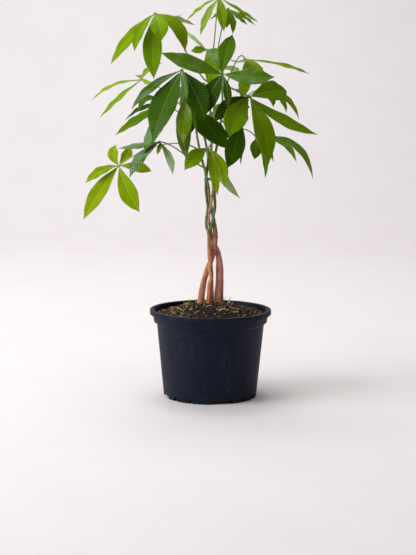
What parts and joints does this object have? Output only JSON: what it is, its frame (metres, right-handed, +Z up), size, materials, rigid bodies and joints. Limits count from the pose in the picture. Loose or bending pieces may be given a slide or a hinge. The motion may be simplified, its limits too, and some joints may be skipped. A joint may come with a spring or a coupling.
{
  "type": "potted money tree",
  "caption": "Small indoor tree with loosely braided stems held by a tie, a crown of palmate leaves, and a round plastic nursery pot heaped with soil.",
  "frame": {"origin": "centre of the pot's flat base, where it rests", "axes": "+Z up along the stems, -Y towards the side that the picture shows, +X to that view's right"},
  "size_m": [0.2983, 0.2052, 0.5388],
  "materials": {
    "pot_plastic": "satin",
    "potting_mix": "rough",
    "bark": "matte",
    "tie_plastic": "glossy",
    "leaf_lime": "satin",
    "leaf_fresh": "satin",
    "leaf_mature": "satin",
    "leaf_deep": "satin"
  },
  "bodies": {
    "root": {"pot": "pot_plastic", "soil": "potting_mix", "stem_left": "bark", "stem_middle": "bark", "stem_right": "bark", "stem_back": "bark", "tie": "tie_plastic", "leaf_low_left": "leaf_lime", "leaf_front_left": "leaf_deep", "leaf_front_mid": "leaf_deep", "leaf_front_right": "leaf_mature", "leaf_bud": "leaf_fresh", "leaf_top_left": "leaf_fresh", "leaf_top": "leaf_fresh", "leaf_top_right": "leaf_mature", "leaf_mid_left": "leaf_fresh", "leaf_low_mid_left": "leaf_deep", "leaf_low_front": "leaf_fresh", "leaf_right_high": "leaf_fresh", "leaf_low_right": "leaf_mature", "leaf_mid_back_left": "leaf_deep", "leaf_centre": "leaf_deep", "leaf_behind_right": "leaf_fresh", "leaf_right_low_dark": "leaf_deep", "leaf_behind_high": "leaf_fresh", "leaf_back_left": "leaf_mature", "leaf_back_right": "leaf_mature", "leaf_back_low": "leaf_mature", "leaf_back_high": "leaf_fresh"}
  },
  "joints": []
}
